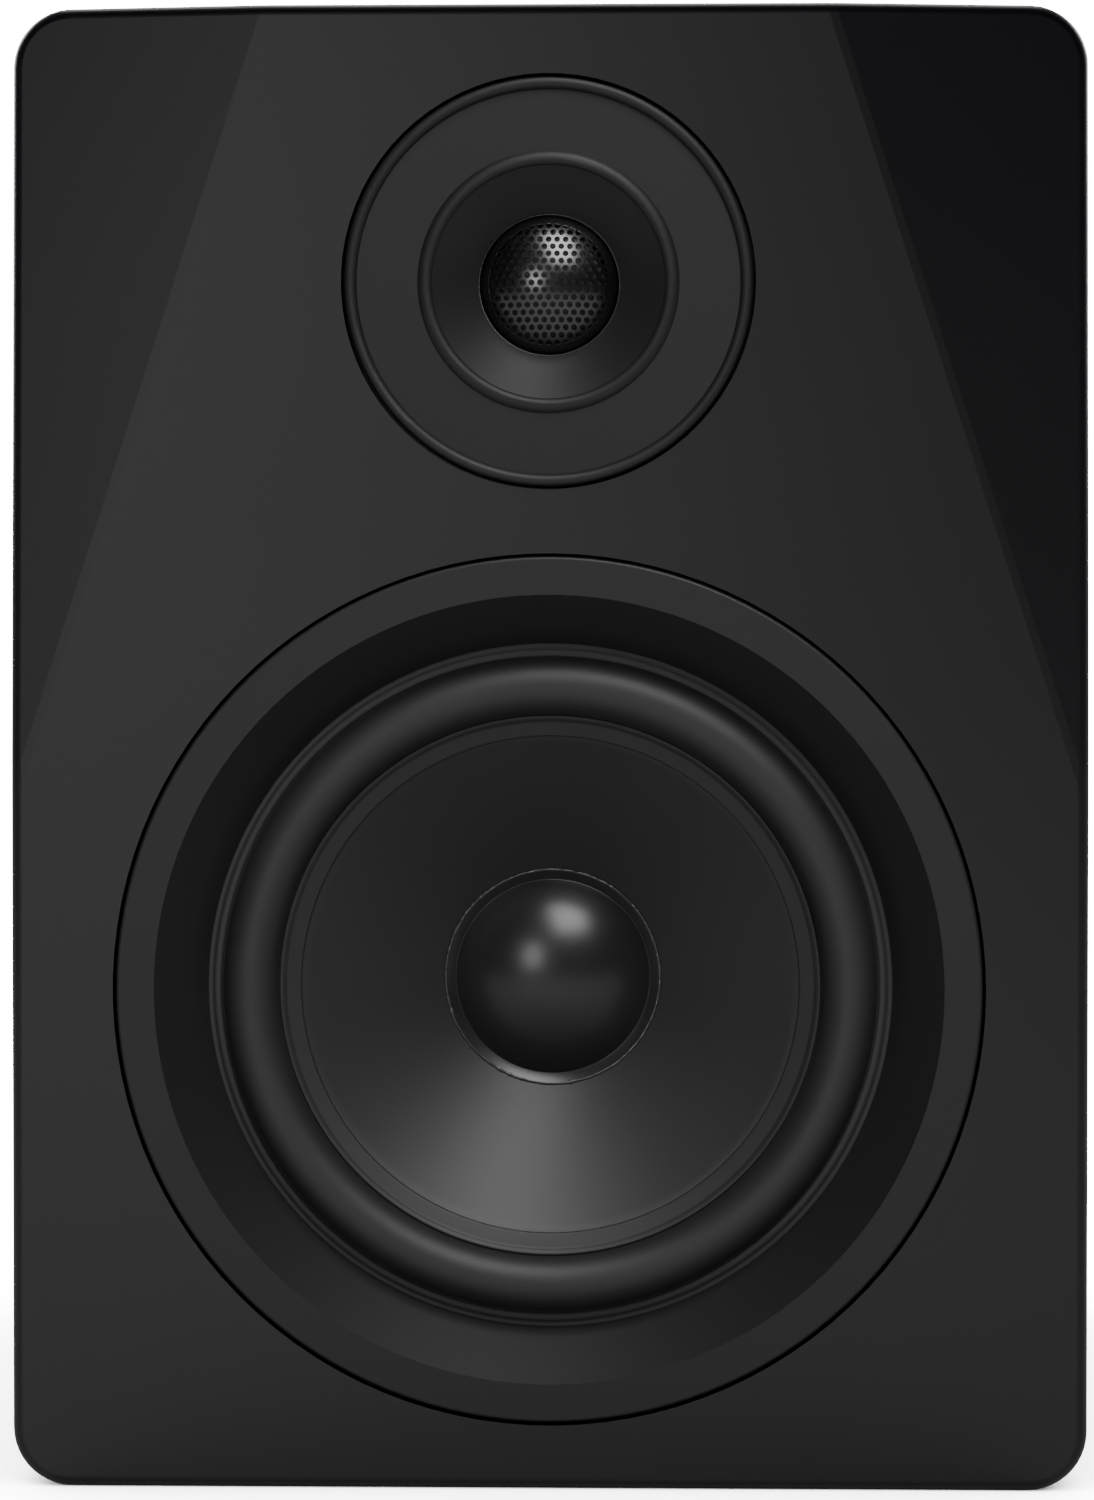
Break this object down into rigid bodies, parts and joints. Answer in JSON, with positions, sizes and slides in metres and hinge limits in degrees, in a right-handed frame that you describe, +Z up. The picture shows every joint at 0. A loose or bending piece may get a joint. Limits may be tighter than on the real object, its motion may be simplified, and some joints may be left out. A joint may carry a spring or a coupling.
{
  "type": "bookshelf speaker",
  "caption": "Compact two-way bookshelf speaker: faceted front, woofer in a flush trim ring, dome tweeter in a short horn, rear port and screw-down binding posts.",
  "frame": {"origin": "middle of the underside of the cabinet", "axes": "+Z up, -Y the way the drivers face, +X to the right as seen from the front"},
  "size_m": [0.183, 0.2, 0.252],
  "materials": {
    "black_paint": "satin black lacquer on fibreboard",
    "black_wrap": "matt black vinyl on fibreboard",
    "trim_plastic": "satin black moulded plastic",
    "rubber": "matt black rubber",
    "cone_plastic": "satin black polypropylene",
    "cap_gloss": "smooth black plastic",
    "basket_paint": "black powder coat",
    "steel": "zinc plated",
    "ferrite": "dark grey sintered",
    "zinc_screw": "zinc plated",
    "black_screw": "black oxide",
    "copper": "enamelled copper",
    "former_foil": "foil",
    "spider_cloth": "resin dipped cotton",
    "fibre_board": "glass fibre board",
    "tinned_brass": "tinned",
    "black_metal": "satin black",
    "dome_silk": "coated silk",
    "port_plastic": "textured black plastic",
    "gold_plate": "gold plated",
    "red_plastic": "clear red over metal",
    "black_plastic": "black",
    "film_wrap": "yellow tape wrap",
    "can_sleeve": "blue black sleeve",
    "ceramic": "white cement",
    "wire_sleeve": "flexible sleeve",
    "wadding": "polyester fibre"
  },
  "bodies": {
    "cabinet": {"front_baffle": "black_paint", "top_panel": "black_wrap", "bottom_panel": "black_wrap", "left_panel": "black_wrap", "right_panel": "black_wrap", "rear_panel": "black_wrap", "woofer_trim_ring": "trim_plastic", "tweeter_faceplate": "trim_plastic", "woofer_surround": "rubber", "woofer_gasket": "rubber", "tweeter_gasket": "rubber", "terminal_cup_gasket": "rubber", "woofer_basket": "basket_paint", "woofer_top_plate": "steel", "woofer_yoke": "steel", "tweeter_top_plate": "steel", "tweeter_yoke": "steel", "woofer_magnet": "ferrite", "tweeter_magnet": "ferrite", "woofer_screws": "zinc_screw", "tweeter_screws": "zinc_screw", "crossover_screws": "zinc_screw", "post_nuts": "zinc_screw", "terminal_cup_screws": "black_screw", "woofer_inductor": "copper", "tweeter_inductor": "copper", "spider": "spider_cloth", "woofer_terminal_strip": "fibre_board", "tweeter_ring": "fibre_board", "tweeter_terminals": "fibre_board", "crossover_board": "fibre_board", "crossover_spacers": "fibre_board", "woofer_lugs": "tinned_brass", "post_solder_lugs": "tinned_brass", "tinsel_leads": "tinned_brass", "tweeter_grille": "black_metal", "tweeter_edge_roll": "dome_silk", "port_flare": "port_plastic", "port_tube": "port_plastic", "terminal_cup": "port_plastic", "post_studs": "gold_plate", "red_post_collar": "red_plastic", "black_post_collar": "black_plastic", "film_capacitors": "film_wrap", "electrolytic_capacitor": "can_sleeve", "crossover_resistors": "ceramic", "woofer_wires": "wire_sleeve", "tweeter_wires": "wire_sleeve", "input_wires": "wire_sleeve", "damping_wadding": "wadding"},
    "woofer_diaphragm": {"woofer_cone": "cone_plastic", "dust_cap": "cap_gloss", "voice_coil_former": "former_foil", "voice_coil_winding": "copper"},
    "tweeter_diaphragm": {"tweeter_dome": "dome_silk", "tweeter_voice_coil": "copper"},
    "red_clamp": {"red_post_washer": "gold_plate"},
    "red_cap": {"red_post_cap": "red_plastic"},
    "black_clamp": {"black_post_washer": "gold_plate"},
    "black_cap": {"black_post_cap": "black_plastic"}
  },
  "joints": [
    {"name": "cone_travel", "type": "slide", "parent": "cabinet", "child": "woofer_diaphragm", "axis": [0, 1, 0], "range_m": [-0.004, 0.004], "stiffness_N_per_m": 1280, "deforming": ["woofer_surround", "spider", "tinsel_leads"]},
    {"name": "dome_travel", "type": "slide", "parent": "cabinet", "child": "tweeter_diaphragm", "axis": [0, 1, 0], "range_m": [-0.0003, 0.0003], "stiffness_N_per_m": 200, "deforming": ["tweeter_edge_roll"]},
    {"name": "red_post_rise", "type": "slide", "parent": "cabinet", "child": "red_clamp", "axis": [0, 1, 0], "range_m": [0, 0.006]},
    {"name": "red_post_turn", "type": "hinge", "parent": "red_clamp", "child": "red_cap", "pos_m": [-0.0095, 0.09, 0.075], "axis": [0, 1, 0], "range_deg": [0, 2160]},
    {"name": "black_post_rise", "type": "slide", "parent": "cabinet", "child": "black_clamp", "axis": [0, 1, 0], "range_m": [0, 0.006]},
    {"name": "black_post_turn", "type": "hinge", "parent": "black_clamp", "child": "black_cap", "pos_m": [0.0095, 0.09, 0.075], "axis": [0, 1, 0], "range_deg": [0, 2160]}
  ],
  "couplings": [
    {"joint": "red_post_turn", "follows": "red_post_rise", "rad_per_m": 6283.2},
    {"joint": "black_post_turn", "follows": "black_post_rise", "rad_per_m": 6283.2}
  ]
}
